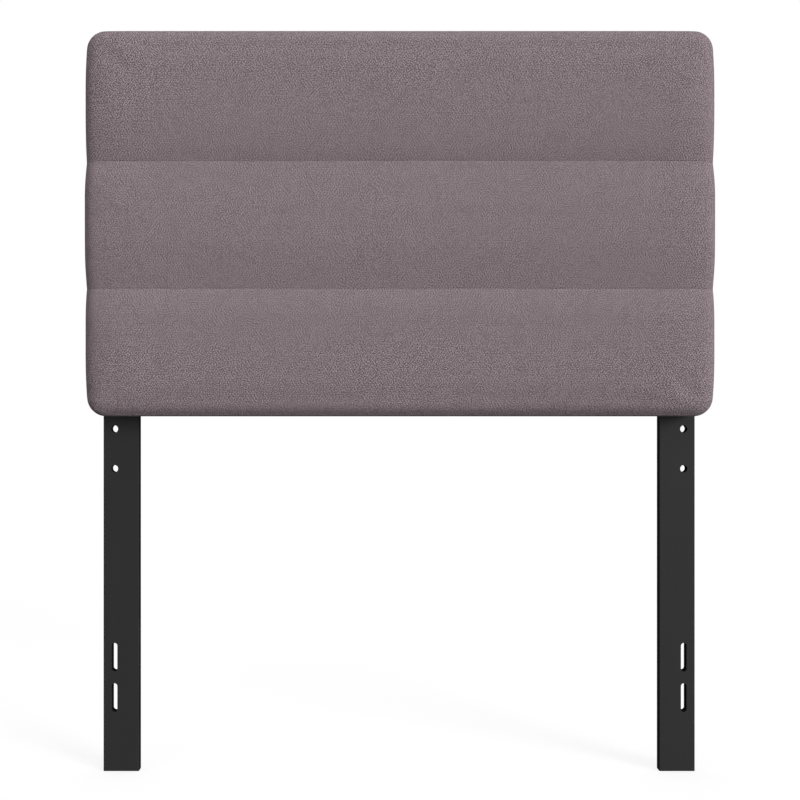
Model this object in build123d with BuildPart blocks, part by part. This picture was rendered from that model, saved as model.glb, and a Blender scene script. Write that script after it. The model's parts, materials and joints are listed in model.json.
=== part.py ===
from build123d import *
import os
from math import acos, cos, pi, sin, sqrt

# An upholstered headboard: a padded panel with three horizontal channels on two slotted legs.
# Millimetres, +Z up. The floor is Z = 0, X = 0 is the middle of the width and Y = 0 is the
# middle of the depth. The padded front faces -Y.

os.makedirs("parts", exist_ok=True)

# Panel, seen from the front
panel_width = 1000.0
panel_height = 611.0
panel_rise = 581.3  # from the floor to the panel's lower edge
corner_radius = 28.0
front_round = 20.0  # rounding of the front edge
corner_steps = 6  # outlines drawn round a corner

# Channels: the padding swells between the seams and is drawn in at them
top_extra = 5.9  # the top channel's height over that of each of the lower two
seam_depth = 7.0  # a seam lies this far behind the fullest front
seam_draw = 1.2  # and pulls each side in this far
seam_run = 48.0  # height over which the channel swells to its fullest
seam_steps = 3  # outlines drawn over that height
edge_depth = 2.0  # the same three at the panel's upper and lower edges
edge_draw = 3.6
edge_run = 110.0

# Layers of the panel, from front to back
cover_thickness = 1.2
foam_depth = 46.0
board_thickness = 4.0
frame_thickness = 22.0
dust_thickness = 0.5

# Cover and padding details
side_padding = 8.0  # foam between the frame's edge and the cover
return_width = 45.0  # cover turned onto the back
seam_allowance = 10.0  # depth of the sewn edges between two foam strips
dust_margin = 12.0  # from the panel's edge to the dust cover's edge

# Frame
stile_width = 70.0
rail_width = 60.0
block_side = 60.0
block_thickness = 18.0

# Legs
leg_width = 58.0
leg_thickness = 18.0
leg_inset = 16.5  # from the panel's side to the leg's outer edge
leg_end = 39.5  # from the upper bolt to the leg's upper end
leg_easing = 1.2  # small bevel along the leg's edges
hole_inset = 18.0  # from the leg's outer edge to its line of holes

# Slots for the bed frame's bolts
slot_width = 9.5
slot_length = 47.0
slot_rise = 120.0  # from the floor to the lower slot's middle
slot_pitch = 66.0

# Round holes for the panel's bolts: two groups, one for each of the leg's bolts
hole_diameter = 12.0
hole_pitch = 65.0
holes_in_group = 3
bolt_rise = 43.0  # from the panel's lower edge to the lower bolt
bolt_spacing = 260.0  # between a leg's two bolts

# Leg bolts, with hexagon heads, and their washers
bolt_diameter = 8.0
bolt_length = 45.0  # under the head
head_flats = 13.0
head_height = 5.3
washer_diameter = 22.0
washer_thickness = 1.6
spring_diameter = 14.8
spring_thickness = 2.0
spring_slit = 1.4
bolt_clearance = 0.2  # on the radius, in the washers
hole_clearance = 0.5  # on the radius, in the wood and cloth

# Threaded inserts, driven into the front of the stiles
insert_flange = 22.0
insert_flange_thickness = 1.5
insert_barrel = 10.0
insert_length = 11.0
thread_clearance = 0.1  # on the radius
prong_count = 4
prong_length = 6.0
prong_width = 3.0
prong_thickness = 1.2
prong_circle = 17.0

# Places that follow from the sizes
panel_top = panel_rise + panel_height
channel_height = (panel_height - top_extra) / 3
seams = [panel_rise + channel_height, panel_rise + 2 * channel_height]
half_width = panel_width / 2

hardware_depth = washer_thickness + spring_thickness + head_height
panel_depth = cover_thickness + foam_depth + board_thickness + frame_thickness
panel_depth += cover_thickness + dust_thickness
front_y = -(panel_depth + leg_thickness + hardware_depth) / 2
board_y = front_y + cover_thickness + foam_depth
frame_y = board_y + board_thickness
frame_back_y = frame_y + frame_thickness
cover_back_y = frame_back_y + cover_thickness
leg_y = cover_back_y + dust_thickness
leg_back_y = leg_y + leg_thickness
spring_y = leg_back_y + washer_thickness
head_y = spring_y + spring_thickness

core_inset = cover_thickness + side_padding
core_width = panel_width - 2 * core_inset
core_height = panel_height - 2 * core_inset
core_radius = corner_radius - core_inset
core_middle = panel_rise + panel_height / 2

leg_x = half_width - leg_inset - leg_width / 2
hole_x = half_width - leg_inset - hole_inset
bolt_heights = [panel_rise + bolt_rise, panel_rise + bolt_rise + bolt_spacing]
bolt_points = [(side * hole_x, height) for side in (-1, 1) for height in bolt_heights]
leg_height = bolt_heights[1] + leg_end
clearance_hole = bolt_diameter / 2 + hole_clearance


def upright(depth):
    """The plane that faces the front at this depth: X is across and its Y is up."""
    return Plane.XZ.offset(-depth)


def finish(piece, name):
    """Label a finished piece and write it."""
    piece.label = name
    export_step(piece, f"parts/{name}.step")


def swell(fall, run, inset, reach):
    """How far an arc that falls by fall over run has fallen at reach, set in by inset."""
    radius = (run**2 + fall**2) / (2 * fall) - inset
    return radius - sqrt(radius**2 - reach**2)


def seam_end(seam, inward, inset):
    """Outlines from a seam to the channel's fullest: their height, how far the front has fallen
    back there, how far the sides are drawn in and the angle turned round the corner, here all."""
    outlines = []
    for step in range(seam_steps + 1):
        reach = seam_run * (1 - step / seam_steps)
        fall = swell(seam_depth, seam_run, inset, reach)
        draw = swell(seam_draw, seam_run, inset, reach)
        outlines.append((seam + inward * (seam_run - reach), fall, draw, pi / 2))
    return outlines


def edge_end(edge, inward, inset):
    """The same outlines from the panel's upper or lower edge, round its corners."""
    quarter = [pi / 2 * step / corner_steps for step in range(corner_steps + 1)]
    radius = corner_radius - inset
    outlines = []
    for angle in quarter:
        depth = radius * (1 - cos(angle))
        reach = edge_run - inset - depth
        fall = swell(edge_depth, edge_run, inset, reach)
        draw = swell(edge_draw, edge_run, inset, reach)
        height = edge + inward * (inset + depth)
        outlines.append((height, fall, draw, max(angle, quarter[1] / 2)))
    outlines.append((edge + inward * edge_run, 0, 0, pi / 2))
    return outlines


def channel_outline(height, fall, draw, angle, inset):
    """The channel's outline at one height, with its two front corners rounded. Round a corner of
    the panel it is cut through the ring that the rounded edge makes there."""
    outer, tube = corner_radius - inset, front_round - inset
    ring = outer - tube
    above = outer * cos(angle)
    centre_x = half_width - inset - draw - outer
    side_y = front_y + inset + fall + tube
    turn = acos(max((above - ring) / tube, 0))
    points = []
    for part_turn in (0, turn / 2, turn):
        around = max((ring + tube * cos(part_turn)) ** 2 - above**2, 0)
        points.append((centre_x + sqrt(around), side_y - tube * sin(part_turn)))
    (side_x, _), (middle_x, middle_y), (end_x, end_y) = points
    back = cover_back_y - inset
    with BuildSketch(Plane.XY.offset(height)) as outline:
        with BuildLine():
            for side in (-1, 1):
                Line((side * side_x, back), (side * side_x, side_y))
                ThreePointArc(
                    (side * side_x, side_y),
                    (side * middle_x, middle_y),
                    (side * end_x, end_y),
                )
            Line((-end_x, end_y), (end_x, end_y))
            Line((-side_x, back), (side_x, back))
        make_face()
    return outline.sketch


def channel_form(low, high, inset):
    """One channel as a solid block, set in by inset from its outer surface but not at a seam."""
    lower = seam_end(low, 1, inset) if low in seams else edge_end(low, 1, inset)
    upper = seam_end(high, -1, inset) if high in seams else edge_end(high, -1, inset)
    outlines = [channel_outline(*values, inset) for values in lower + upper[::-1]]
    with BuildPart() as form:
        loft(outlines, ruled=True)
    return form.part


def seam_strips(padding, low, high):
    """The cover's sewn edges, turned in between two foam strips at each seam."""
    depth = seam_depth + seam_allowance
    with BuildPart() as strips:
        for seam, inward in ((low, Align.MIN), (high, Align.MAX)):
            if seam in seams:
                with Locations((0, front_y, seam)):
                    Box(panel_width, depth, cover_thickness, align=(Align.CENTER, Align.MIN, inward))
        add(padding, mode=Mode.INTERSECT)
    return strips.part


def core_outline():
    """The frame's outline with its rounded corners, for the sketch in hand."""
    with Locations((0, core_middle)):
        RectangleRounded(core_width, core_height, core_radius)


def make_cover(skin, padding, sewn_edges, name):
    """A fabric strip: the channel's skin, open at the back inside its turned edge."""
    with BuildPart() as cover:
        add(skin)
        add(padding, mode=Mode.SUBTRACT)
        with BuildSketch(upright(cover_back_y)):
            with Locations((0, core_middle)):
                Rectangle(panel_width - 2 * return_width, panel_height - 2 * return_width)
            with Locations(*bolt_points):
                Circle(clearance_hole)
        extrude(amount=cover_thickness, mode=Mode.SUBTRACT)
        add(sewn_edges)
    finish(cover.part, name)


def make_foam(padding, sewn_edges, name):
    """A foam strip: it fills the channel in front of the face board and wraps the frame's edge."""
    with BuildPart() as foam:
        add(padding)
        add(sewn_edges, mode=Mode.SUBTRACT)
        with BuildSketch(upright(frame_back_y)):
            core_outline()
        extrude(amount=frame_back_y - board_y, mode=Mode.SUBTRACT)
    finish(foam.part, name)


# The three channels, from the floor up
channels = (("bottom", panel_rise, seams[0]), ("middle", *seams), ("top", seams[1], panel_top))
for place, low, high in channels:
    skin = channel_form(low, high, 0)
    padding = channel_form(low, high, cover_thickness)
    sewn_edges = seam_strips(padding, low, high)
    make_cover(skin, padding, sewn_edges, f"{place}_cover")
    make_foam(padding, sewn_edges, f"{place}_foam")

# Threaded inserts, let into the front of the stiles
with BuildPart() as t_nuts:
    with BuildSketch(upright(frame_y + insert_flange_thickness)):
        with Locations(*bolt_points):
            Circle(insert_flange / 2)
    extrude(amount=insert_flange_thickness)
    with BuildSketch(upright(frame_y + insert_flange_thickness + prong_length)):
        with Locations(*bolt_points):
            with PolarLocations(prong_circle / 2, prong_count):
                Rectangle(prong_thickness, prong_width)
    extrude(amount=prong_length)
    with BuildSketch(upright(frame_y + insert_length)):
        with Locations(*bolt_points):
            Circle(insert_barrel / 2)
    extrude(amount=insert_length)
    with BuildSketch(upright(frame_y + insert_length)):
        with Locations(*bolt_points):
            Circle(bolt_diameter / 2 + thread_clearance)
    extrude(amount=insert_length, mode=Mode.SUBTRACT)
finish(t_nuts.part, "t_nuts")

# Face board behind the foam
with BuildPart() as face_board:
    with BuildSketch(upright(frame_y)):
        core_outline()
    extrude(amount=board_thickness)
finish(face_board.part, "face_board")


def make_stile(side, name):
    """An outer upright of the frame, bored for the leg bolts and their inserts."""
    with BuildPart() as stile:
        with BuildSketch(upright(frame_back_y)):
            core_outline()
            with Locations((side * (core_width - stile_width) / 2, core_middle)):
                Rectangle(stile_width, core_height, mode=Mode.INTERSECT)
            with Locations(*bolt_points):
                Circle(clearance_hole, mode=Mode.SUBTRACT)
        extrude(amount=frame_thickness)
        with BuildSketch(upright(frame_y + insert_length)):
            with Locations(*bolt_points):
                Circle(insert_barrel / 2)
        extrude(amount=insert_length, mode=Mode.SUBTRACT)
        add(t_nuts.part, mode=Mode.SUBTRACT)
    finish(stile.part, name)


def make_bar(width, height, middle, name):
    """A plain bar of the frame between the others."""
    with BuildPart() as bar:
        with BuildSketch(upright(frame_back_y)):
            with Locations((0, middle)):
                Rectangle(width, height)
        extrude(amount=frame_thickness)
    finish(bar.part, name)


# The frame
rail_z = (core_height - rail_width) / 2
make_stile(-1, "left_stile")
make_stile(1, "right_stile")
make_bar(core_width - 2 * stile_width, rail_width, core_middle + rail_z, "top_rail")
make_bar(core_width - 2 * stile_width, rail_width, core_middle - rail_z, "bottom_rail")
make_bar(stile_width, core_height - 2 * rail_width, core_middle, "centre_stile")

# Three-cornered glue blocks in the frame's inner corners, behind the face board
inner_x = core_width / 2 - stile_width
inner_z = core_height / 2 - rail_width
with BuildPart() as corner_blocks:
    with BuildSketch(upright(frame_y + block_thickness)):
        for across in (-1, 1):
            for up in (-1, 1):
                corner_x, corner_z = across * inner_x, core_middle + up * inner_z
                with BuildLine():
                    Polyline(
                        (corner_x, corner_z),
                        (corner_x - across * block_side, corner_z),
                        (corner_x, corner_z - up * block_side),
                        close=True,
                    )
                make_face()
    extrude(amount=block_thickness)
finish(corner_blocks.part, "corner_blocks")

# Thin cloth that closes the back, under the legs
with BuildPart() as dust_cover:
    with BuildSketch(upright(leg_y)):
        with Locations((0, core_middle)):
            Rectangle(panel_width - 2 * dust_margin, panel_height - 2 * dust_margin)
        with Locations(*bolt_points):
            Circle(clearance_hole, mode=Mode.SUBTRACT)
    extrude(amount=dust_thickness)
finish(dust_cover.part, "dust_cover")


def make_leg(side, name):
    """A flat leg with its two groups of round holes and its two slots."""
    with BuildPart() as leg:
        with BuildSketch(upright(leg_back_y)):
            with Locations((side * leg_x, leg_height / 2)):
                Rectangle(leg_width, leg_height)
        extrude(amount=leg_thickness)
        chamfer(leg.edges().filter_by(lambda edge: edge.center().Z > 0), leg_easing)
        with BuildSketch(upright(leg_back_y)):
            for height in bolt_heights:
                for step in range(holes_in_group):
                    with Locations((side * hole_x, height - step * hole_pitch)):
                        Circle(hole_diameter / 2)
            for height in (slot_rise, slot_rise + slot_pitch):
                with Locations((side * hole_x, height)):
                    SlotOverall(slot_length, slot_width, rotation=90)
        extrude(amount=leg_thickness, mode=Mode.SUBTRACT)
    finish(leg.part, name)


make_leg(-1, "left_leg")
make_leg(1, "right_leg")

# Bolts through the legs into the inserts
with BuildPart() as leg_bolts:
    with BuildSketch(upright(head_y)):
        with Locations(*bolt_points):
            Circle(bolt_diameter / 2)
    extrude(amount=bolt_length)
    with BuildSketch(upright(head_y + head_height)):
        with Locations(*bolt_points):
            RegularPolygon(head_flats / 2, side_count=6, major_radius=False)
    extrude(amount=head_height)
finish(leg_bolts.part, "leg_bolts")

# Wide washers that bridge the leg's holes
with BuildPart() as flat_washers:
    with BuildSketch(upright(spring_y)):
        with Locations(*bolt_points):
            Circle(washer_diameter / 2)
            Circle(bolt_diameter / 2 + bolt_clearance, mode=Mode.SUBTRACT)
    extrude(amount=washer_thickness)
finish(flat_washers.part, "flat_washers")

# Split spring washers under the heads
with BuildPart() as spring_washers:
    with BuildSketch(upright(head_y)):
        with Locations(*bolt_points):
            Circle(spring_diameter / 2)
            Circle(bolt_diameter / 2 + bolt_clearance, mode=Mode.SUBTRACT)
            Rectangle(
                spring_slit,
                spring_diameter,
                align=(Align.CENTER, Align.MIN),
                mode=Mode.SUBTRACT,
            )
    extrude(amount=spring_thickness)
finish(spring_washers.part, "spring_washers")
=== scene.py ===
import json
from math import cos, pi, radians, sin, sqrt

import bmesh
import bpy
from mathutils import Matrix, Vector, noise


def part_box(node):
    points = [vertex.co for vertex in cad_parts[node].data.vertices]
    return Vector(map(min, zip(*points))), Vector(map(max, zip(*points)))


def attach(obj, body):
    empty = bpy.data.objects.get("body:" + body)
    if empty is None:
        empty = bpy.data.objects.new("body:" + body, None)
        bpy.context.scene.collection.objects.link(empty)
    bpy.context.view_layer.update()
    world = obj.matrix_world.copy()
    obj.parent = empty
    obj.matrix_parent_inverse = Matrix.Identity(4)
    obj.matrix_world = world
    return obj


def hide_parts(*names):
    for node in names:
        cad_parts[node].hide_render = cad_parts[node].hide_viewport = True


bl_info = {
    "name": "Channelled Headboard",
    "version": (1, 0, 0),
    "blender": (4, 5, 0),
    "location": "View3D > Sidebar > Headboard",
    "description": "Upholstery, finishes, stage and lights for a channelled headboard",
    "category": "Object",
}

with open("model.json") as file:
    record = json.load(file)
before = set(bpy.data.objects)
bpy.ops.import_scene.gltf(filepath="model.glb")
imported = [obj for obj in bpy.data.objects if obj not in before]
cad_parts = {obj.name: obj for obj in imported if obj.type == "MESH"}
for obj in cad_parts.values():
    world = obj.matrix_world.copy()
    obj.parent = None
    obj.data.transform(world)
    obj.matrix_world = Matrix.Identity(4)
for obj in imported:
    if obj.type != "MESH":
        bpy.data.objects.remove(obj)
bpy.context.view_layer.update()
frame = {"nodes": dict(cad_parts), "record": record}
BODY = "root"

COVERS = ("bottom", "middle", "top")
LEGS = ("left_leg", "right_leg")

# Steps of the mesh round a channel's edge: the flat margin of the front, its rounding, the wall,
# the turn onto the back, the return there, and the fan at a corner of the panel
MARGIN_STEPS, ROUND_STEPS, WALL_STEPS, TURN_STEPS, RETURN_STEPS = 2, 8, 5, 3, 6
FRONT_STEPS = MARGIN_STEPS + ROUND_STEPS
FAN_STEPS = 8
AROUND = ((0, 0), (1, 0), (1, 1), (0, 1))  # the corners of a cell, in order
CREASE_ANGLES = (30, 60, 90)  # rows round a seam's crease, in degrees
NEAR_ROWS = (2.2, 5.0, 11.0)  # rows next to it, in radii of the crease
TUCK_AT_BACK = 0.25  # the share of a seam's tuck that is left on the back
MERGE_WITHIN = 0.00002  # points nearer to each other than this are merged
LOST_BELOW = 0.00001  # edges shorter than this are dissolved
WALL_SHARE = 0.9  # of the depth behind the face board, reached where the wall ends
LAST_WALL_LAYER = FRONT_STEPS + WALL_STEPS - 1
HELD_LAYER = {"bottom": 7, "middle": LAST_WALL_LAYER, "top": 7}  # held from here to the back

CLOTH_SETTINGS = {
    "quality": 6,
    "mass": 0.3,
    "tension_stiffness": 40.0,
    "compression_stiffness": 40.0,
    "shear_stiffness": 20.0,
    "bending_stiffness": 2.0,
    "use_pressure": True,
    "uniform_pressure_force": 4.0,
}
CLOTH_FRAMES = 20
MOST_MOVE = 0.0016  # how far the simulation may move a point

FLOOR_SIZE = 60.0
FLOOR_GREY = 0.13  # what the floor gives back to the object
FLOOR_SHOWN_GREY = 0.9
FLOOR_GLOW = 1.1  # brings the floor that is seen up to white
FLOOR_SHADED_SHARE = 0.3  # the share of the floor that is seen which shows shadows
KEY_WAY = (0.48, -0.46, 0.17)  # from the panel towards the key light
KEY_DISTANCE = 9.0


def low(node):
    """The lowest corner of a node's box."""
    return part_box(node)[0]


def high(node):
    """The highest corner of a node's box."""
    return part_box(node)[1]


# Sizes a user may change


class UpholsterySizes(bpy.types.PropertyGroup):
    corner_round: bpy.props.FloatProperty(
        name="Corner Round", default=0.028, unit="LENGTH",
        description="Radius of the panel's corners, seen from the front",
    )
    edge_round: bpy.props.FloatProperty(
        name="Edge Round", default=0.02, unit="LENGTH",
        description="Radius of the panel's front edge",
    )
    side_depth: bpy.props.FloatProperty(
        name="Side Depth", default=0.0052, unit="LENGTH",
        description="How far the front lies back towards the sides",
    )
    side_run: bpy.props.FloatProperty(
        name="Side Run", default=0.06, unit="LENGTH",
        description="Width over which the front swells from the sides",
    )
    back_round: bpy.props.FloatProperty(
        name="Back Round", default=0.003, unit="LENGTH",
        description="Radius where the cover turns onto the back",
    )
    return_width: bpy.props.FloatProperty(
        name="Return", default=0.045, unit="LENGTH",
        description="Width of the cover that lies on the back",
    )
    seam_depth: bpy.props.FloatProperty(
        name="Seam Depth", default=0.009, unit="LENGTH",
        description="How far a seam lies behind the fullest front",
    )
    seam_draw: bpy.props.FloatProperty(
        name="Seam Draw", default=0.0009, unit="LENGTH",
        description="How far a seam pulls in the sides",
    )
    run_up: bpy.props.FloatProperty(
        name="Run Up", default=0.085, unit="LENGTH",
        description="Height over which a channel swells upwards from a seam",
    )
    run_down: bpy.props.FloatProperty(
        name="Run Down", default=0.055, unit="LENGTH",
        description="Height over which a channel swells downwards from a seam",
    )
    draw_run: bpy.props.FloatProperty(
        name="Draw Run", default=0.052, unit="LENGTH",
        description="Height over which a seam pulls in the sides",
    )
    outer_draw: bpy.props.FloatProperty(
        name="Outer Draw", default=0.0005, unit="LENGTH",
        description="How much narrower the upper and lower channels are on each side",
    )
    middle_swell: bpy.props.FloatProperty(
        name="Middle Swell", default=0.0008, unit="LENGTH",
        description="How much wider the middle channel is on each side",
    )
    upper_depth: bpy.props.FloatProperty(
        name="Upper Depth", default=0.0042, unit="LENGTH",
        description="How far the front lies back at the upper edge",
    )
    lower_depth: bpy.props.FloatProperty(
        name="Lower Depth", default=0.0065, unit="LENGTH",
        description="How far the front lies back at the lower edge",
    )
    edge_draw: bpy.props.FloatProperty(
        name="Edge Draw", default=0.0036, unit="LENGTH",
        description="How far the sides are drawn in at those edges",
    )
    edge_run: bpy.props.FloatProperty(
        name="Edge Run", default=0.095, unit="LENGTH",
        description="Height over which the panel swells from those edges",
    )
    edge_lift: bpy.props.FloatProperty(
        name="Edge Lift", default=0.0005, unit="LENGTH",
        description="How far the padding stands above and below the panel's outline",
    )
    crease: bpy.props.FloatProperty(
        name="Crease", default=0.0005, unit="LENGTH",
        description="Radius of the cloth where it turns into a seam",
    )
    tuck: bpy.props.FloatProperty(
        name="Tuck", default=0.006, unit="LENGTH",
        description="Depth to which the cloth is seen inside a seam",
    )
    pucker: bpy.props.FloatProperty(
        name="Pucker", default=0.00035, unit="LENGTH",
        description="Height of the small puckers that the thread draws along a seam",
    )
    cell: bpy.props.FloatProperty(
        name="Cell", default=0.011, unit="LENGTH",
        description="Size of the mesh cells",
    )


class FinishColours(bpy.types.PropertyGroup):
    fabric: bpy.props.FloatVectorProperty(
        name="Fabric", default=(0.213, 0.1705, 0.1835), subtype="COLOR",
        description="Cover cloth",
    )
    leg: bpy.props.FloatVectorProperty(
        name="Legs", default=(0.014, 0.0136, 0.014), subtype="COLOR",
        description="Black lacquer of the legs",
    )
    timber: bpy.props.FloatVectorProperty(
        name="Timber", default=(0.62, 0.44, 0.26), subtype="COLOR",
        description="Softwood of the frame",
    )
    board: bpy.props.FloatVectorProperty(
        name="Board", default=(0.42, 0.28, 0.17), subtype="COLOR",
        description="Fibreboard behind the padding",
    )
    dust_cloth: bpy.props.FloatVectorProperty(
        name="Dust Cloth", default=(0.02, 0.02, 0.021), subtype="COLOR",
        description="Thin cloth that closes the back",
    )
    zinc: bpy.props.FloatVectorProperty(
        name="Zinc", default=(0.62, 0.62, 0.6), subtype="COLOR",
        description="Plating of the bolts and washers",
    )


class StageSettings(bpy.types.PropertyGroup):
    lens: bpy.props.FloatProperty(
        name="Lens", default=51.444,
        description="Focal length in millimetres",
    )
    eye: bpy.props.FloatVectorProperty(
        name="Eye", default=(-0.045, -1.845, 0.6174), subtype="TRANSLATION",
        description="Where the camera stands",
    )
    shift: bpy.props.FloatVectorProperty(
        name="Shift", default=(0.03548, -0.0082), size=2,
        description="Shift of the lens that centres the panel",
    )
    ambient: bpy.props.FloatProperty(
        name="Ambient", default=0.7,
        description="Light from the sky round the stage",
    )
    key_strength: bpy.props.FloatProperty(
        name="Key Strength", default=2.72,
        description="Strength of the key light in watts per square metre",
    )
    key_angle: bpy.props.FloatProperty(
        name="Key Angle", default=radians(24.0), subtype="ANGLE",
        description="How wide the key light looks from the panel",
    )


# Shader maths


def plug(tree, value, socket):
    """Link a signal to a socket, or set the socket to a plain value."""
    if isinstance(value, Signal):
        tree.links.new(value.socket, socket)
    else:
        socket.default_value = value


def calculated(tree, operation, values, clamp=False):
    """The result of a maths node over signals and plain values."""
    node = tree.nodes.new("ShaderNodeMath")
    node.operation = operation
    node.use_clamp = clamp
    for value, socket in zip(values, node.inputs):
        plug(tree, value, socket)
    return Signal(tree, node.outputs[0])


class Signal:
    """A shader socket that Python's arithmetic works on."""

    def __init__(self, tree, socket):
        self.tree = tree
        self.socket = socket

    def math(self, operation, *others, clamp=False):
        return calculated(self.tree, operation, (self, *others), clamp)

    def __add__(self, other):
        return self.math("ADD", other)

    __radd__ = __add__

    def __sub__(self, other):
        return self.math("SUBTRACT", other)

    def __rsub__(self, other):
        return calculated(self.tree, "SUBTRACT", (other, self))

    def __mul__(self, other):
        return self.math("MULTIPLY", other)

    def __truediv__(self, other):
        return self.math("DIVIDE", other)

    def __pow__(self, other):
        return self.math("POWER", other)

    def __abs__(self):
        return self.math("ABSOLUTE")

    def __gt__(self, other):
        return self.math("GREATER_THAN", other)

    def clamped(self):
        return self.math("ADD", 0.0, clamp=True)


class Finish:
    """A material under construction, with its main shader at hand."""

    def __init__(self, name, roughness, specular):
        self.material = bpy.data.materials.new(name)
        self.material.use_nodes = True
        self.tree = self.material.node_tree
        self.shader = self.tree.nodes["Principled BSDF"]
        self.shader.inputs["Roughness"].default_value = roughness
        self.shader.inputs["Specular IOR Level"].default_value = specular

    def node(self, kind, settings=None, values=None, output=0):
        """Add a node: its settings first, then the values or links of its sockets."""
        node = self.tree.nodes.new(kind)
        for key, value in (settings or {}).items():
            setattr(node, key, value)
        for key, value in (values or {}).items():
            plug(self.tree, value, node.inputs[key])
        return Signal(self.tree, node.outputs[output])

    def axes(self, vector):
        """The three parts of a vector."""
        node = self.tree.nodes.new("ShaderNodeSeparateXYZ")
        plug(self.tree, vector, node.inputs[0])
        return [Signal(self.tree, socket) for socket in node.outputs]

    def place(self, output="Object"):
        """Object coordinates, or the piece's own map with output UV."""
        return self.node("ShaderNodeTexCoord", output=output)

    def joined(self, x, y, z):
        return self.node("ShaderNodeCombineXYZ", values={0: x, 1: y, 2: z})

    def scaled(self, vector, scale):
        return self.node("ShaderNodeMapping", values={"Vector": vector, "Scale": scale})

    def noise(self, vector, scale, detail=2.0, roughness=0.5):
        values = {"Vector": vector, "Scale": scale, "Detail": detail, "Roughness": roughness}
        return self.node("ShaderNodeTexNoise", values=values)

    def speckle(self, vector):
        """A random number for each place in whole numbers."""
        return self.node("ShaderNodeTexWhiteNoise", values={"Vector": vector})

    def mixed(self, share, first, second, blend="MIX"):
        """A colour between two colours, or another blend of them."""
        return self.node(
            "ShaderNodeMix",
            {"data_type": "RGBA", "blend_type": blend},
            {0: share, 6: first, 7: second},
            output=2,
        )

    def shaded(self, colour, brightness):
        """A colour made lighter or darker by a signal round 1."""
        grey = self.joined(brightness, brightness, brightness)
        return self.mixed(1.0, colour, grey, "MULTIPLY")

    def bump(self, height, distance, strength):
        values = {"Height": height, "Distance": distance, "Strength": strength}
        self.set("Normal", self.node("ShaderNodeBump", values=values))

    def set(self, socket, value):
        plug(self.tree, value, self.shader.inputs[socket])


def rgba(colour, factor=1.0):
    """A four-part colour from a three-part one."""
    return (*(part * factor for part in colour), 1.0)


# Finishes


def fabric_finish(colours):
    """A basket weave of mottled yarn, with painted shade between the yarns: two warp yarns cross
    three weft yarns.
    """
    pitch, lean = 0.00121, 0.085  # width of a yarn, and how far the weave leans
    warp_yarns, weft_yarns = 2, 3
    sharpness, fuzz_scale = 9.0, 2600.0
    contrast, mottle, neighbour_share = 1.3, 0.62, 0.25
    weft_shade, warp_shade, darkest = 0.875, 1.125, 0.15
    relief = 0.00035
    finish = Finish("basket_weave", 0.95, 0.05)
    across, up, _ = finish.axes(finish.place("UV"))
    drift = finish.noise(finish.place(), 24.0) - 0.5
    warp = (across - up * lean) / pitch + drift * 0.5
    weft = up / pitch + drift * 0.5
    warp_wave = (warp * (pi / warp_yarns)).math("SINE")
    weft_wave = (weft * (pi / weft_yarns)).math("SINE")
    knot = warp_wave * weft_wave
    over = (knot * sharpness + 0.5).clamped()
    yarns = (warp * pi).math("SINE") * over + (weft * pi).math("SINE") * (1.0 - over)
    ribs = abs(yarns) ** 0.5
    column, row = warp.math("FLOOR"), weft.math("FLOOR")
    fleck = finish.speckle(finish.joined(column, row, 0.0)) - 0.5
    grain = fleck
    for step_x, step_y in ((-1.0, 0.0), (1.0, 0.0), (0.0, -1.0), (0.0, 1.0)):
        beside = finish.joined(column + step_x, row + step_y, 0.0)
        grain = grain - (finish.speckle(beside) - 0.5) * neighbour_share
    warp_tone = finish.speckle(finish.joined(column, 0.0, 7.0)) - 0.5
    weft_tone = finish.speckle(finish.joined(0.0, row, 13.0)) - 0.5
    cloud = finish.noise(finish.place(), 9.0, 3.0) - 0.5
    tone = 1.0 + grain * contrast + fleck * mottle
    tone = tone + (warp_tone + weft_tone) * 0.06 + cloud * 0.05
    # painted shade: the colour is darker where a yarn falls away between its neighbours
    tone = tone.math("MAXIMUM", darkest) * (0.8 + ribs * 0.3)
    weft_colour, warp_colour = (
        rgba(colours.fabric, shade) for shade in (weft_shade, warp_shade)
    )
    dyed = finish.mixed(over, weft_colour, warp_colour)
    finish.set("Base Color", finish.shaded(dyed, tone))
    finish.set("Sheen Weight", 0.02)
    finish.set("Sheen Roughness", 0.6)
    fuzz = finish.noise(finish.place(), fuzz_scale, 2.0)
    finish.bump(ribs * 0.6 + abs(knot) ** 0.5 + fuzz * 0.35, relief, 0.7)
    return finish.material


def lacquer_finish(colours):
    """Black lacquer on fibreboard, lighter along the edges as wear and a painted highlight, with a
    coat on its faces.
    """
    wear_and_highlight_width, round_width, run, relief = 0.0016, 0.0014, 0.001, 0.0002
    finish = Finish("black_lacquer", 0.6, 0.0)
    place = finish.place()
    x, y, _ = finish.axes(place)
    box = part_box("right_leg")
    middle, half = (box[0] + box[1]) / 2, (box[1] - box[0]) / 2
    edge = (abs(abs(x) - middle.x) - (half.x - wear_and_highlight_width)) / wear_and_highlight_width
    face = ((abs(y - middle.y) - (half.y - round_width)) / run).clamped()
    brushed = finish.noise(finish.scaled(place, (140.0, 140.0, 9.0)), 1.0, 3.0) - 0.5
    peel = finish.noise(place, 420.0, 2.0) - 0.5
    scuff = finish.noise(finish.scaled(place, (60.0, 60.0, 14.0)), 1.0, 4.0)
    # lighter along the sides of the legs: partly worn lacquer, partly a painted highlight
    wear_and_highlight = (edge.clamped() * ((scuff - 0.45) * 3.0).clamped()).clamped()
    tone = 1.0 + brushed * 0.16 + wear_and_highlight * 0.9
    finish.set("Base Color", finish.shaded(rgba(colours.leg), tone))
    finish.set("Roughness", 0.6 + brushed * 0.08 + wear_and_highlight * 0.12)
    finish.set("Coat Weight", face * 0.4)
    finish.set("Coat Roughness", 0.42)
    finish.bump(peel * 0.7 + brushed * 0.5, relief, 0.5)
    return finish.material


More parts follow.
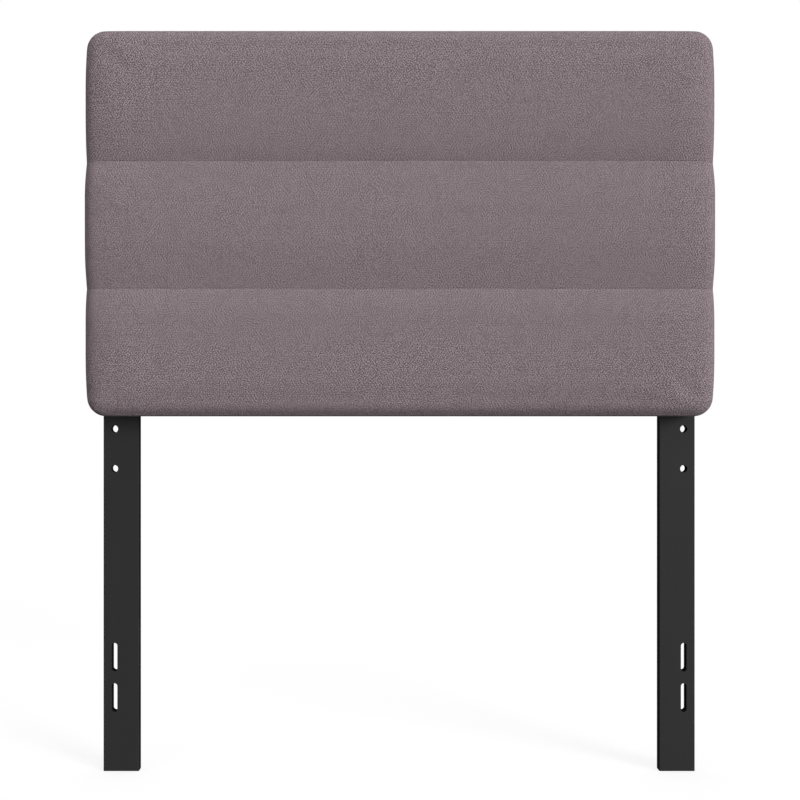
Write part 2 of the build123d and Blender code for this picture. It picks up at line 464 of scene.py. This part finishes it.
def timber_finish(colours):
    """Planed softwood with its growth rings along each bar."""
    finish = Finish("planed_softwood", 0.62, 0.3)
    place = finish.place()
    warped = finish.noise(finish.scaled(place, (5.0, 5.0, 1.2)), 1.0, 3.0)
    grain = finish.scaled(place, (1.0, 38.0, 46.0))
    rings = finish.noise(grain, 1.6, 4.0, 0.6)
    bands = ((rings + warped * 0.8) * 34.0).math("SINE") * 0.5 + 0.5
    pores = finish.noise(finish.scaled(place, (30.0, 900.0, 900.0)), 1.0, 2.0) - 0.5
    dark = rgba([part * shade for part, shade in zip(colours.timber, (0.8, 0.7, 0.6))])
    wood = finish.mixed(bands * 0.55, rgba(colours.timber), dark)
    finish.set("Base Color", finish.shaded(wood, 1.0 + pores * 0.25))
    finish.bump(bands * 0.5 + pores, 0.0002, 0.4)
    return finish.material


def board_finish(colours):
    """Hard-pressed fibreboard with flecks of bark."""
    finish = Finish("pressed_fibreboard", 0.7, 0.25)
    place = finish.place()
    fibres = finish.noise(place, 330.0, 5.0, 0.7) - 0.5
    cloud = finish.noise(place, 14.0, 2.0) - 0.5
    bark = (finish.noise(place, 140.0, 2.0) > 0.72) * 0.45
    tone = 1.0 + fibres * 0.4 + cloud * 0.2 - bark
    finish.set("Base Color", finish.shaded(rgba(colours.board), tone))
    finish.bump(fibres, 0.0002, 0.5)
    return finish.material


def dust_finish(colours):
    """Spun cloth: flattened threads pressed together in a close pattern of points."""
    pitch, relief = 0.0016, 0.0002
    finish = Finish("spun_dust_cloth", 0.85, 0.2)
    place = finish.place()
    x, _, z = finish.axes(place)
    first = ((x + z) * (pi / pitch)).math("SINE")
    second = ((x - z) * (pi / pitch)).math("SINE")
    point = ((abs(first * second) - 0.55) * 2.4).clamped()
    threads = finish.noise(place, 1500.0, 4.0, 0.7) - 0.5
    cloud = finish.noise(place, 45.0, 4.0, 0.65) - 0.5
    tone = 1.0 + threads * 0.5 + cloud * 0.55 + point * 0.35
    finish.set("Base Color", finish.shaded(rgba(colours.dust_cloth), tone))
    finish.set("Roughness", 0.85 - point * 0.3)
    finish.bump(threads - point, relief, 0.6)
    return finish.material


def zinc_finish(colours):
    """Bright zinc plating with faint crystal patches."""
    finish = Finish("zinc_plate", 0.32, 0.5)
    place = finish.place()
    finish.set("Metallic", 1.0)
    patches = finish.noise(place, 420.0, 3.0) - 0.5
    streaks = finish.noise(finish.scaled(place, (900.0, 3000.0, 900.0)), 1.0, 2.0) - 0.5
    tarnish = ((finish.noise(place, 60.0, 4.0, 0.6) - 0.5) * 4.0).clamped()
    tone = 1.0 + patches * 0.14 - tarnish * 0.25
    finish.set("Base Color", finish.shaded(rgba(colours.zinc), tone))
    finish.set("Roughness", 0.3 + patches * 0.15 + streaks * 0.12 + tarnish * 0.2)
    finish.bump(streaks, 0.00005, 0.4)
    return finish.material


FINISHES = {
    "fabric": fabric_finish,
    "black_wood": lacquer_finish,
    "timber": timber_finish,
    "board": board_finish,
    "dust_cloth": dust_finish,
    "zinc_steel": zinc_finish,
}
made = {}


def finish_for(slot):
    """The material of a record slot, made once."""
    if slot not in made:
        made[slot] = FINISHES[slot](bpy.context.scene.headboard_colours)
    return made[slot]


def dress(obj, slot):
    """Give an object its slot's material and nothing else."""
    obj.data.materials.clear()
    obj.data.materials.append(finish_for(slot))


def add_piece(obj, slot, *replaced):
    """Give a new piece its slot's material and its body, and hide the nodes that it stands for."""
    dress(obj, slot)
    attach(obj, BODY)
    if replaced:
        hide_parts(*replaced)


# Working with operators


def only(obj):
    """Select one object and make it active."""
    bpy.ops.object.select_all(action="DESELECT")
    obj.select_set(True)
    bpy.context.view_layer.objects.active = obj


def add_object(mesh, name):
    """A new object in the scene with this mesh."""
    obj = bpy.data.objects.new(name, mesh)
    bpy.context.scene.collection.objects.link(obj)
    return obj


def settle(obj, name):
    """Name a new object and put its place into its mesh."""
    only(obj)
    obj.name = name
    obj.data.name = name
    bpy.ops.object.transform_apply(location=True, rotation=True, scale=True)
    return obj


def modify(obj, kind, **settings):
    """Add a modifier and apply it."""
    only(obj)
    bpy.ops.object.modifier_add(type=kind)
    modifier = obj.modifiers[-1]
    for key, value in settings.items():
        setattr(modifier, key, value)
    bpy.ops.object.modifier_apply(modifier=modifier.name)


def smooth(obj):
    only(obj)
    bpy.ops.object.shade_smooth_by_angle(angle=radians(35.0))


def faces_front(normal):
    return normal.y < -0.9


def pick(obj, test):
    """In edit mode, select the faces whose centre and normal pass a test."""
    bpy.ops.mesh.select_all(action="DESELECT")
    mesh = bmesh.from_edit_mesh(obj.data)
    for face in mesh.faces:
        face.select = test(face.calc_center_median(), face.normal)
    bmesh.update_edit_mesh(obj.data)


def copies(obj, places, name):
    """Join copies of a finished piece, each moved by its matrix, into one object."""
    mesh = bmesh.new()
    for place in places:
        one = obj.data.copy()
        one.transform(place)
        mesh.from_mesh(one)
        bpy.data.meshes.remove(one)
    joined = bpy.data.meshes.new(name)
    mesh.to_mesh(joined)
    mesh.free()
    bpy.data.objects.remove(obj)
    return add_object(joined, name)


# Padded channels


def swell(fall, run, reach):
    """How far an arc that falls by fall over run has fallen at reach."""
    radius = (run**2 + fall**2) / (2 * fall)
    return radius - sqrt(radius**2 - min(max(reach, 0.0), run) ** 2)


def steps(start, end, cell):
    """Values from start to end, about one cell apart."""
    count = max(round(abs(end - start) / cell), 1)
    return [start + (end - start) * k / count for k in range(count + 1)]


class Channel:
    """One padded channel as a closed skin round the frame, as rows and columns of points."""

    def __init__(self, place, sizes):
        self.sizes = sizes
        self.place = place
        cover = f"{place}_cover"
        self.bottom, self.top = low(cover).z, high(cover).z
        self.half_width = high(cover).x
        self.front, self.back = low(cover).y, high(cover).y
        self.board = low("face_board").y
        self.frame_edge = self.half_width - high("face_board").x
        self.frame_back = high("top_rail").y
        self.seam_below = place != "bottom"
        self.seam_above = place != "top"
        self.ends = ((self.bottom, self.seam_below, 1), (self.top, self.seam_above, -1))
        self.rows = self.make_rows()
        self.columns = self.make_columns()
        self.profile = self.make_profile()
        self.border = self.make_border()
        self.outer, self.inner, self.flat = {}, {}, {}
        self.faces = []
        self.fill_points()
        self.fill_faces()

    def make_rows(self):
        """Heights of the rows, each with how deep the cloth is tucked into a seam there."""
        sizes = self.sizes
        turn = [(0.0, sizes.tuck), (0.0, sizes.tuck * 0.5), (0.0, sizes.crease)]
        for angle in CREASE_ANGLES:
            far = sizes.crease * (1 - cos(radians(angle)))
            deep = sizes.crease * (1 - sin(radians(angle)))
            turn.append((far, deep))
        near = [sizes.crease * k for k in NEAR_ROWS]
        turn += [(far, 0.0) for far in near]
        start = self.bottom + (near[-1] if self.seam_below else sizes.corner_round)
        end = self.top - (near[-1] if self.seam_above else sizes.corner_round)
        rows = [(z, 0.0) for z in steps(start, end, sizes.cell)]
        if self.seam_below:
            rows = [(self.bottom + far, deep) for far, deep in turn[:-1]] + rows
        if self.seam_above:
            rows += [(self.top - far, deep) for far, deep in reversed(turn[:-1])]
        return rows

    def make_columns(self):
        edge = self.half_width - self.sizes.corner_round
        return steps(-edge, edge, self.sizes.cell)

    def make_profile(self):
        """From the front face round the edge to the back: offset and depth of the cover, the
        direction it faces, its length along the cloth, and offset and depth of the padding's
        inside there."""
        sizes = self.sizes
        corner, round_, turned = sizes.corner_round, sizes.edge_round, sizes.back_round
        level = corner - round_
        depth = self.back - self.front
        inside = corner - self.frame_edge
        board, back = self.board - self.front, self.frame_back - self.front
        profile = []
        for k in range(1, MARGIN_STEPS + 1):
            far = level * k / MARGIN_STEPS
            profile.append((far, 0.0, 0.0, -1.0, far, inside * k / FRONT_STEPS, board))
        for k in range(1, ROUND_STEPS + 1):
            angle = pi / 2 * k / ROUND_STEPS
            length = level + round_ * angle
            place = (level + round_ * sin(angle), round_ * (1 - cos(angle)))
            inner = (inside * (k + MARGIN_STEPS) / FRONT_STEPS, board)
            profile.append((*place, sin(angle), -cos(angle), length, *inner))
        wall = depth - round_ - turned
        for k in range(1, WALL_STEPS + 1):
            share = k / WALL_STEPS
            place = (corner, round_ + wall * share)
            inner = (inside, board + (back - board) * share * WALL_SHARE)
            profile.append((*place, 1.0, 0.0, length + wall * share, *inner))
        length += wall
        for k in range(1, TURN_STEPS + 1):
            angle = pi / 2 * k / TURN_STEPS
            place = (
                corner - turned * (1 - cos(angle)),
                depth - turned * (1 - sin(angle)),
            )
            share = WALL_SHARE + (1 - WALL_SHARE) * k / TURN_STEPS
            inner = (inside, board + (back - board) * share)
            far = length + turned * angle
            profile.append((*place, cos(angle), sin(angle), far, *inner))
        length += turned * pi / 2
        start = corner - turned
        end = corner - sizes.return_width
        for k in range(1, RETURN_STEPS + 1):
            share = k / RETURN_STEPS
            place = (start + (end - start) * share, depth)
            inner = (inside + (end - inside) * share, back)
            far = length + (start - end) * share
            profile.append((*place, 0.0, 1.0, far, *inner))
        return profile

    def make_border(self):
        """The points of the front face that the edge starts from: their place in the grid,
        the direction outwards, and how far the return may reach past the corner's middle."""
        last_column, last_row = len(self.columns) - 1, len(self.rows) - 1
        limit = self.sizes.return_width - self.sizes.corner_round
        ends = [z for z, seam, _ in self.ends if not seam]
        corner = self.half_width - self.sizes.corner_round

        def side(column, way, order):
            border = []
            for row in order:
                z = self.rows[row][0]
                spare = [abs(z - end) - self.sizes.corner_round for end in ends] + [limit]
                border.append(((column, row), way, 0.0, min(spare)))
            return border

        def fan(key, x_way, z_way):
            angles = [pi / 2 * k / FAN_STEPS for k in range(1, FAN_STEPS)]
            return [(key, x_way * cos(angle), z_way * sin(angle), 0.0) for angle in angles]

        def edge(row, way, order):
            return [
                ((column, row), 0.0, way, min(corner - abs(self.columns[column]), limit))
                for column in order
            ]

        upward = range(last_row + 1)
        if self.seam_below and self.seam_above:
            return [side(0, -1.0, upward), side(last_column, 1.0, reversed(upward))]
        across = range(last_column + 1)
        if self.seam_below:
            return [
                side(0, -1.0, upward)
                + fan((0, last_row), -1.0, 1.0)
                + edge(last_row, 1.0, across)
                + fan((last_column, last_row), 1.0, 1.0)[::-1]
                + side(last_column, 1.0, reversed(upward))
            ]
        return [
            side(last_column, 1.0, reversed(upward))
            + fan((last_column, 0), 1.0, -1.0)
            + edge(0, -1.0, reversed(across))
            + fan((0, 0), -1.0, -1.0)[::-1]
            + side(0, -1.0, upward)
        ]

    def fall(self, z):
        """How far the front lies back at a height, and how far the sides are drawn in."""
        sizes = self.sizes
        outer = -sizes.middle_swell if self.place == "middle" else sizes.outer_draw
        back, draw = 0.0, outer
        for end, seam, inward in self.ends:
            away = (z - end) * inward
            if seam:
                run = sizes.run_up if inward > 0 else sizes.run_down
                back += swell(sizes.seam_depth, run, run - away)
                draw += swell(sizes.seam_draw, sizes.draw_run, sizes.draw_run - away)
                draw -= outer * fade(away, sizes.draw_run)
            else:
                depth = sizes.lower_depth if self.place == "bottom" else sizes.upper_depth
                back += swell(depth, sizes.edge_run, sizes.edge_run - away)
                draw += swell(sizes.edge_draw, sizes.edge_run, sizes.edge_run - away)
        return back, draw

    def puckers(self, x, y, z):
        """Small waves that the thread draws into the cloth on both sides of a seam."""
        reach, waves = 0.03, 62.0
        total = 0.0
        for end, seam, _ in self.ends:
            away = abs(z - end)
            if seam and away < reach:
                wave = noise.noise(Vector((x * waves, y * waves, end * 9.0)))
                total += wave * fade(away, reach)
        return total * self.sizes.pucker

    def skin(self, x, z, out_x, out_z, offset, depth, face_out, face_back, tuck):
        """A point of the cover, from its place on the flat outline and on the edge's profile."""
        sizes = self.sizes
        back, draw = self.fall(z + out_z * offset)
        inwards = self.half_width - abs(x + out_x * offset)
        back += swell(sizes.side_depth, sizes.side_run, sizes.side_run - inwards)
        share = 1 - depth / (self.back - self.front)
        tucked = tuck * (TUCK_AT_BACK + (1 - TUCK_AT_BACK) * share)
        lift = self.puckers(x + out_x * offset, depth, z) * share - tucked
        outwards = offset + face_out * lift
        place_x = (x + out_x * outwards) * (1 - draw / self.half_width)
        place_y = self.front + depth + back * share + face_back * lift
        outwards += sizes.edge_lift * max(offset, 0.0) / sizes.corner_round
        return Vector((place_x, place_y, z + out_z * outwards))

    def fill_points(self):
        for column, x in enumerate(self.columns):
            for row, (z, tuck) in enumerate(self.rows):
                key = (column, row)
                self.outer[key] = self.skin(x, z, 0.0, 0.0, 0.0, 0.0, 0.0, -1.0, tuck)
                self.inner[key] = Vector((x, self.board, z))
                self.flat[key] = (x, z - tuck if z < (self.bottom + self.top) / 2 else z + tuck)
        for part, border in enumerate(self.border):
            for place, (key, out_x, out_z, limit) in enumerate(border):
                x, (z, tuck) = self.columns[key[0]], self.rows[key[1]]
                for layer, values in enumerate(self.profile):
                    offset, depth, face_out, face_back, length, in_offset, in_depth = values
                    reach = max(offset, -limit)
                    mark = (part, place, layer, "edge")
                    self.outer[mark] = self.skin(
                        x, z, out_x, out_z, reach, depth, face_out, face_back, tuck
                    )
                    in_reach = max(in_offset, -limit)
                    self.inner[mark] = Vector(
                        (x + out_x * in_reach, self.front + in_depth, z + out_z * in_reach)
                    )
                    up = self.flat[key][1]
                    self.flat[mark] = (x + out_x * length, up + out_z * length)

    def fill_faces(self):
        for column in range(len(self.columns) - 1):
            for row in range(len(self.rows) - 1):
                self.faces.append(tuple((column + a, row + b) for a, b in AROUND))
        for part, border in enumerate(self.border):
            for place in range(len(border) - 1):
                first, second = border[place][0], border[place + 1][0]
                near = (part, place, 0, "edge")
                far = (part, place + 1, 0, "edge")
                if first == second:
                    self.faces.append((first, far, near))
                else:
                    self.faces.append((first, second, far, near))
                for layer in range(len(self.profile) - 1):
                    self.faces.append(
                        tuple((part, place + a, layer + b, "edge") for a, b in AROUND)
                    )

    def sheet(self, name):
        """The cover alone, as a mesh without double points, and each point's vertex."""
        places, index = {}, {}
        for key, place in self.outer.items():
            spot = tuple(round(part, 5) for part in place)
            index[key] = places.setdefault(spot, len(places))
        faces = [list(dict.fromkeys(index[key] for key in face)) for face in self.faces]
        mesh = bpy.data.meshes.new(name)
        mesh.from_pydata(list(places), [], [face for face in faces if len(face) > 2])
        return mesh, index

    def solid(self, name):
        """The closed piece: the cover, the padding's inside and the walls between them."""
        mesh = bmesh.new()
        cloth_map = mesh.loops.layers.uv.new("cloth")
        outer = {key: mesh.verts.new(place) for key, place in self.outer.items()}
        inner = {key: mesh.verts.new(place) for key, place in self.inner.items()}
        sides = {}
        for face in self.faces:
            for points, keys in ((outer, face), (inner, face[::-1])):
                new = mesh.faces.new([points[key] for key in keys])
                for loop, key in zip(new.loops, keys):
                    loop[cloth_map].uv = self.flat[key]
            for first, second in zip(face, face[1:] + face[:1]):
                sides[first, second] = None
        for first, second in sides:
            if (second, first) not in sides:
                mesh.faces.new((outer[second], outer[first], inner[first], inner[second]))
        bmesh.ops.remove_doubles(mesh, verts=mesh.verts, dist=MERGE_WITHIN)
        bmesh.ops.dissolve_degenerate(mesh, edges=mesh.edges, dist=LOST_BELOW)
        bmesh.ops.recalc_face_normals(mesh, faces=mesh.faces)
        data = bpy.data.meshes.new(name)
        mesh.to_mesh(data)
        mesh.free()
        return add_object(data, name)


def fade(away, run):
    """1 at a seam, falling smoothly to 0 at run."""
    share = 1 - min(max(away / run, 0.0), 1.0)
    return share * share * (3 - 2 * share)


def simulate(channel):
    """Fill the cover with the padding's pressure. It is held at its seams and on the back, and
    the upper and lower channels, which have a free edge, from the round of their edges on."""
    mesh, index = channel.sheet("loose_cover")
    loose = add_object(mesh, "loose_cover")
    only(loose)
    held = loose.vertex_groups.new(name="held")
    for key, vertex in index.items():
        row = key[1] if len(key) == 2 else channel.border[key[0]][key[1]][0][1]
        tucked = channel.rows[row][1] > 0
        behind = len(key) == 4 and key[2] >= HELD_LAYER[channel.place]
        if tucked or behind:
            held.add([vertex], 1.0, "REPLACE")
    bpy.ops.object.modifier_add(type="CLOTH")
    cloth = loose.modifiers[-1]
    cloth.settings.vertex_group_mass = "held"
    for setting, value in CLOTH_SETTINGS.items():
        setattr(cloth.settings, setting, value)
    cloth.settings.effector_weights.gravity = 0.0
    cloth.point_cache.frame_start = 1
    cloth.point_cache.frame_end = CLOTH_FRAMES
    for step in range(1, CLOTH_FRAMES + 1):
        bpy.context.scene.frame_set(step)
    filled = loose.evaluated_get(bpy.context.evaluated_depsgraph_get())
    for key, vertex in index.items():
        move = filled.data.vertices[vertex].co - channel.outer[key]
        if move.length > MOST_MOVE:
            move = move.normalized() * MOST_MOVE
        channel.outer[key] = channel.outer[key] + move
    bpy.context.scene.frame_set(1)
    bpy.data.objects.remove(loose)


class HEADBOARD_OT_pads(bpy.types.Operator):
    """Add the three padded channels over the frame"""

    bl_idname = "headboard.add_pads"
    bl_label = "Add Padded Channels"

    def execute(self, context):
        for place in COVERS:
            channel = Channel(place, context.scene.headboard_sizes)
            simulate(channel)
            pad = channel.solid(f"{place}_channel_pad")
            modify(pad, "SUBSURF", levels=1, render_levels=1)
            only(pad)
            bpy.ops.object.shade_smooth()
            add_piece(pad, "fabric", f"{place}_cover", f"{place}_foam")
        return {"FINISHED"}


# Dust cloth


class HEADBOARD_OT_dust_cloth(bpy.types.Operator):
    """Add the thin cloth that closes the back, and its staples"""

    bl_idname = "headboard.add_dust_cloth"
    bl_label = "Add Dust Cloth"

    def execute(self, context):
        lowest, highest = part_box("dust_cover")
        width, height = highest.x - lowest.x, highest.z - lowest.z
        middle = (highest.z + lowest.z) / 2
        across, up, gap, thickness = 122, 74, 0.0001, 0.0003
        margin, run, leg_gap = 0.006, 0.03, 0.012  # flat at its edge and near the legs
        wave_height, ripple_height, slack = 0.0016, 0.0005, 0.0006
        bpy.ops.mesh.primitive_grid_add(
            x_subdivisions=across,
            y_subdivisions=up,
            size=1.0,
            location=(0.0, lowest.y + gap, middle),
            rotation=(-pi / 2, 0.0, 0.0),
        )
        cloth = bpy.context.object
        cloth.scale = (width, height, 1.0)
        settle(cloth, "dust_cloth")
        legs = [(low(leg).x - leg_gap, high(leg).x + leg_gap) for leg in LEGS]
        leg_top = high(LEGS[0]).z + leg_gap
        for vertex in cloth.data.vertices:
            x, _, z = vertex.co
            edge = min(x - lowest.x, highest.x - x, z - lowest.z, highest.z - z)
            clear = min(max((edge - margin) / run, 0.0), 1.0)
            for left, right in legs:
                near = max(left - x, x - right, z - leg_top)
                clear = min(clear, max(near, 0.0) / run)
            wave = noise.noise(Vector((x * 7.0, 3.0, z * 11.0)))
            ripple = noise.noise(Vector((x * 31.0, 8.0, z * 26.0)))
            lift = wave * wave_height + ripple * ripple_height + slack
            vertex.co.y += max(lift, 0.0) * clear
        modify(cloth, "SOLIDIFY", thickness=thickness, offset=1.0)
        only(cloth)
        bpy.ops.object.shade_smooth()
        staples = self.staples(lowest, highest)
        add_piece(staples, "zinc_steel")
        add_piece(cloth, "dust_cloth", "dust_cover")
        return {"FINISHED"}

    def staples(self, lowest, highest):
        """Staples round the cloth's edge, from one that is modelled and copied."""
        crown, wire, flat, leg, gap = 0.0125, 0.0011, 0.0006, 0.0022, 0.0002
        inset, spacing, most_lean, wire_round = 0.007, 0.048, 0.22, 0.00018
        row_start, column_start = 0.02, 0.03
        bpy.ops.mesh.primitive_cube_add(size=1.0)
        staple = bpy.context.object
        staple.scale = (crown, flat, wire)
        settle(staple, "staple")
        bpy.ops.object.mode_set(mode="EDIT")
        for side in (-1, 1):
            bpy.ops.mesh.select_all(action="SELECT")
            bpy.ops.mesh.bisect(
                plane_co=(side * (crown / 2 - wire), 0.0, 0.0), plane_no=(1.0, 0.0, 0.0)
            )
        ends = crown / 2 - wire
        pick(staple, lambda centre, normal: faces_front(normal) and abs(centre.x) > ends)
        bpy.ops.mesh.extrude_region_move(TRANSFORM_OT_translate={"value": (0.0, -leg, 0.0)})
        bpy.ops.mesh.select_all(action="SELECT")
        bpy.ops.mesh.bevel(offset=wire_round, segments=2)
        bpy.ops.object.mode_set(mode="OBJECT")
        depth = highest.y + gap
        left, right = lowest.x + inset, highest.x - inset
        bottom, top = lowest.z + inset, highest.z - inset
        along = steps(left + row_start, right - row_start, spacing)
        rows = [(x, z) for x in along for z in (bottom, top)]
        heights = steps(bottom + column_start, top - column_start, spacing)
        columns = [(x, z) for z in heights for x in (left, right)]
        places = []
        for spots, seed, angle in ((rows, 0.0, 0.0), (columns, 5.0, pi / 2)):
            for x, z in spots:
                lean = noise.noise(Vector((x * 40.0, z * 40.0, seed))) * most_lean
                turn = Matrix.Rotation(angle + lean, 4, "Y")
                places.append(Matrix.Translation((x, depth, z)) @ turn)
        staples = copies(staple, places, "dust_cloth_staples")
        smooth(staples)
        return staples


# Bolts


class HEADBOARD_OT_bolts(bpy.types.Operator):
    """Add the hexagon bolts that hold the legs"""

    bl_idname = "headboard.add_bolts"
    bl_label = "Add Leg Bolts"

    def execute(self, context):
        lowest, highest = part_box("leg_bolts")
        head, flats, shank, washer_radius = 0.0053, 0.013, 0.008, 0.011
        slope, crown_share, tip, edge_round = 1.6, 0.93, 0.0009, 0.0002
        head_y = highest.y - head
        bpy.ops.mesh.primitive_cylinder_add(
            vertices=6,
            radius=flats / sqrt(3),
            depth=head,
            location=(0.0, head_y + head / 2, 0.0),
            rotation=(pi / 2, 0.0, 0.0),
        )
        bolt = settle(bpy.context.object, "bolt")
        bpy.ops.mesh.primitive_cone_add(
            vertices=48,
            radius1=flats / 2 + head * slope,
            radius2=flats / 2 * crown_share,
            depth=head,
            location=(0.0, head_y + head / 2, 0.0),
            rotation=(-pi / 2, 0.0, 0.0),
        )
        cone = settle(bpy.context.object, "cone")
        modify(bolt, "BOOLEAN", operation="INTERSECT", object=cone, solver="EXACT")
        bpy.data.objects.remove(cone)
        length = head_y - lowest.y
        bpy.ops.mesh.primitive_cylinder_add(
            vertices=36,
            radius=shank / 2,
            depth=length + head / 2,
            location=(0.0, head_y - length / 2 + head / 4, 0.0),
            rotation=(pi / 2, 0.0, 0.0),
        )
        stem = settle(bpy.context.object, "stem")
        bpy.ops.object.mode_set(mode="EDIT")
        pick(stem, lambda centre, normal: faces_front(normal))
        bpy.ops.mesh.bevel(offset=tip, segments=1)
        bpy.ops.object.mode_set(mode="OBJECT")
        modify(bolt, "BOOLEAN", operation="UNION", object=stem, solver="EXACT")
        bpy.data.objects.remove(stem)
        places = []
        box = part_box("flat_washers")
        for x in (box[0].x + washer_radius, box[1].x - washer_radius):
            for z in (box[0].z + washer_radius, box[1].z - washer_radius):
                turn = Matrix.Rotation((x * 7.0 + z * 13.0) % 1.0, 4, "Y")
                places.append(Matrix.Translation((x, 0.0, z)) @ turn)
        bolts = copies(bolt, places, "hexagon_bolts")
        modify(bolts, "BEVEL", width=edge_round, segments=2, limit_method="ANGLE")
        smooth(bolts)
        add_piece(bolts, "zinc_steel", "leg_bolts")
        return {"FINISHED"}


# Nodes that keep their shape


class HEADBOARD_OT_finishes(bpy.types.Operator):
    """Finish the legs, the frame and the small steel parts"""

    bl_idname = "headboard.finish_nodes"
    bl_label = "Finish Legs and Frame"

    def execute(self, context):
        slots = {row["node"]: row["material_slot"] for row in frame["record"]["subparts"]}
        hidden = {f"{place}_{layer}" for place in COVERS for layer in ("cover", "foam")}
        hidden |= {"dust_cover", "leg_bolts"}
        for name, node in frame["nodes"].items():
            if name not in hidden:
                dress(node, slots[name])
        return {"FINISHED"}


# Stage


def background_share(tree):
    """1 for the rays that should see the plain white background."""
    path = tree.nodes.new("ShaderNodeLightPath")
    kinds = ("Camera", "Glossy", "Transmission")
    camera, glossy, through = (Signal(tree, path.outputs[f"Is {kind} Ray"]) for kind in kinds)
    return (camera + glossy + through).clamped()


class HEADBOARD_OT_stage(bpy.types.Operator):
    """Add the floor, the lights, the white background and the camera"""

    bl_idname = "headboard.add_stage"
    bl_label = "Add Stage"

    def execute(self, context):
        settings = context.scene.headboard_stage
        self.world(settings)
        self.floor()
        self.lights(settings)
        self.camera(settings)
        context.scene.view_settings.view_transform = "Standard"
        return {"FINISHED"}

    def world(self, settings):
        world = bpy.data.worlds.new("studio")
        bpy.context.scene.world = world
        world.use_nodes = True
        tree = world.node_tree
        background = tree.nodes["Background"]
        seen = background_share(tree)
        plug(tree, seen * (1 - settings.ambient) + settings.ambient, background.inputs["Strength"])
        background.inputs["Color"].default_value = (1.0, 1.0, 1.0, 1.0)

    def floor(self):
        bpy.ops.mesh.primitive_plane_add(size=FLOOR_SIZE)
        floor = settle(bpy.context.object, "studio_floor")
        material = bpy.data.materials.new("studio_floor")
        material.use_nodes = True
        tree = material.node_tree
        tree.nodes.remove(tree.nodes["Principled BSDF"])
        dim = tree.nodes.new("ShaderNodeBsdfDiffuse")
        bright = tree.nodes.new("ShaderNodeBsdfDiffuse")
        for node, grey in ((dim, FLOOR_GREY), (bright, FLOOR_SHOWN_GREY)):
            node.inputs["Color"].default_value = (grey, grey, grey, 1.0)
        glow = tree.nodes.new("ShaderNodeEmission")
        glow.inputs["Strength"].default_value = FLOOR_GLOW
        shown = tree.nodes.new("ShaderNodeMixShader")
        shown.inputs[0].default_value = FLOOR_SHADED_SHARE
        tree.links.new(glow.outputs[0], shown.inputs[1])
        tree.links.new(bright.outputs[0], shown.inputs[2])
        mix = tree.nodes.new("ShaderNodeMixShader")
        plug(tree, background_share(tree), mix.inputs[0])
        tree.links.new(dim.outputs[0], mix.inputs[1])
        tree.links.new(shown.outputs[0], mix.inputs[2])
        tree.links.new(mix.outputs[0], tree.nodes["Material Output"].inputs["Surface"])
        floor.data.materials.append(material)

    def lights(self, settings):
        way = Vector(KEY_WAY)
        bpy.ops.object.light_add(type="SUN", location=way * KEY_DISTANCE)
        key = bpy.context.object
        key.name = "key_light"
        key.data.angle = settings.key_angle
        key.data.energy = settings.key_strength
        key.rotation_euler = way.to_track_quat("Z", "Y").to_euler()

    def camera(self, settings):
        bpy.ops.object.camera_add(location=settings.eye, rotation=(pi / 2, 0.0, 0.0))
        camera = bpy.context.object
        camera.name = "photo_camera"
        camera.data.lens = settings.lens
        camera.data.shift_x, camera.data.shift_y = settings.shift
        camera.data.clip_end = 100.0
        bpy.context.scene.camera = camera


# Panel and registration


class HEADBOARD_PT_panel(bpy.types.Panel):
    """Lists the sizes, the finishes and the steps"""

    bl_idname = "HEADBOARD_PT_panel"
    bl_label = "Headboard"
    bl_space_type = "VIEW_3D"
    bl_region_type = "UI"
    bl_category = "Headboard"

    def draw(self, context):
        scene = context.scene
        for group in (scene.headboard_sizes, scene.headboard_colours, scene.headboard_stage):
            box = self.layout.box()
            for name in group.bl_rna.properties.keys():
                if name not in ("rna_type", "name"):
                    box.prop(group, name)
        for operator in OPERATORS:
            self.layout.operator(operator.bl_idname)


OPERATORS = (
    HEADBOARD_OT_pads,
    HEADBOARD_OT_dust_cloth,
    HEADBOARD_OT_bolts,
    HEADBOARD_OT_finishes,
    HEADBOARD_OT_stage,
)
CLASSES = (UpholsterySizes, FinishColours, StageSettings, *OPERATORS, HEADBOARD_PT_panel)


def register():
    for cls in CLASSES:
        bpy.utils.register_class(cls)
    scene = bpy.types.Scene
    scene.headboard_sizes = bpy.props.PointerProperty(type=UpholsterySizes)
    scene.headboard_colours = bpy.props.PointerProperty(type=FinishColours)
    scene.headboard_stage = bpy.props.PointerProperty(type=StageSettings)


def unregister():
    scene = bpy.types.Scene
    del scene.headboard_stage
    del scene.headboard_colours
    del scene.headboard_sizes
    for cls in reversed(CLASSES):
        bpy.utils.unregister_class(cls)


def main():
    register()
    bpy.ops.headboard.add_pads()
    bpy.ops.headboard.add_dust_cloth()
    bpy.ops.headboard.add_bolts()
    bpy.ops.headboard.finish_nodes()
    bpy.ops.headboard.add_stage()


if __name__ == "__main__":
    main()
